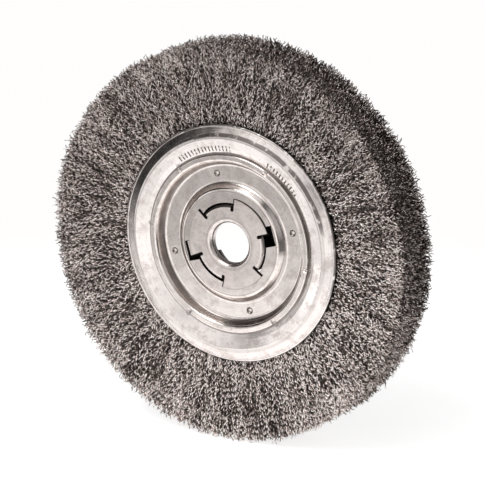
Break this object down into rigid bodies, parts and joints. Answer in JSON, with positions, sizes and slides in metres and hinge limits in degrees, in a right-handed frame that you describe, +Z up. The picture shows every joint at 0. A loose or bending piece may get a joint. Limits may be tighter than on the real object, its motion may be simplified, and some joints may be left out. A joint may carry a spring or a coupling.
{
  "type": "crimped wire wheel brush",
  "caption": "Crimped-wire wheel brush for a bench grinder: two pressed plates grip ring brushes on a keyed hub, with a removable stamped arbor adapter.",
  "frame": {"origin": "centre of the wheel, on its axis and mid-plane", "axes": "+Y along the wheel's axis from its front (adapter) face to its rear face, +Z up"},
  "size_m": [0.244, 0.034, 0.244],
  "materials": {
    "face_plate_steel": "bright zinc-plated, satin",
    "hub_disc_steel": "bright zinc-plated, satin",
    "adapter_steel": "bright zinc-plated, satin",
    "inner_steel": "dull, oiled",
    "crimped_wire": "bare crimped steel wire"
  },
  "bodies": {
    "wheel": {"front_face_plate": "face_plate_steel", "front_hub_disc": "hub_disc_steel", "rear_face_plate": "face_plate_steel", "rear_hub_disc": "hub_disc_steel", "hub_spacer": "inner_steel", "core_drum": "inner_steel", "channel_ring_1": "inner_steel", "anchor_ring_1": "inner_steel", "wire_fill_1": "crimped_wire", "channel_ring_2": "inner_steel", "anchor_ring_2": "inner_steel", "wire_fill_2": "crimped_wire", "channel_ring_3": "inner_steel", "anchor_ring_3": "inner_steel", "wire_fill_3": "crimped_wire", "channel_ring_4": "inner_steel", "anchor_ring_4": "inner_steel", "wire_fill_4": "crimped_wire"},
    "adapter": {"arbor_adapter": "adapter_steel"}
  },
  "joints": [
    {"name": "adapter_lift", "type": "slide", "parent": "wheel", "child": "adapter", "axis": [0, -1, 0], "range_m": [0, 0.03]}
  ]
}
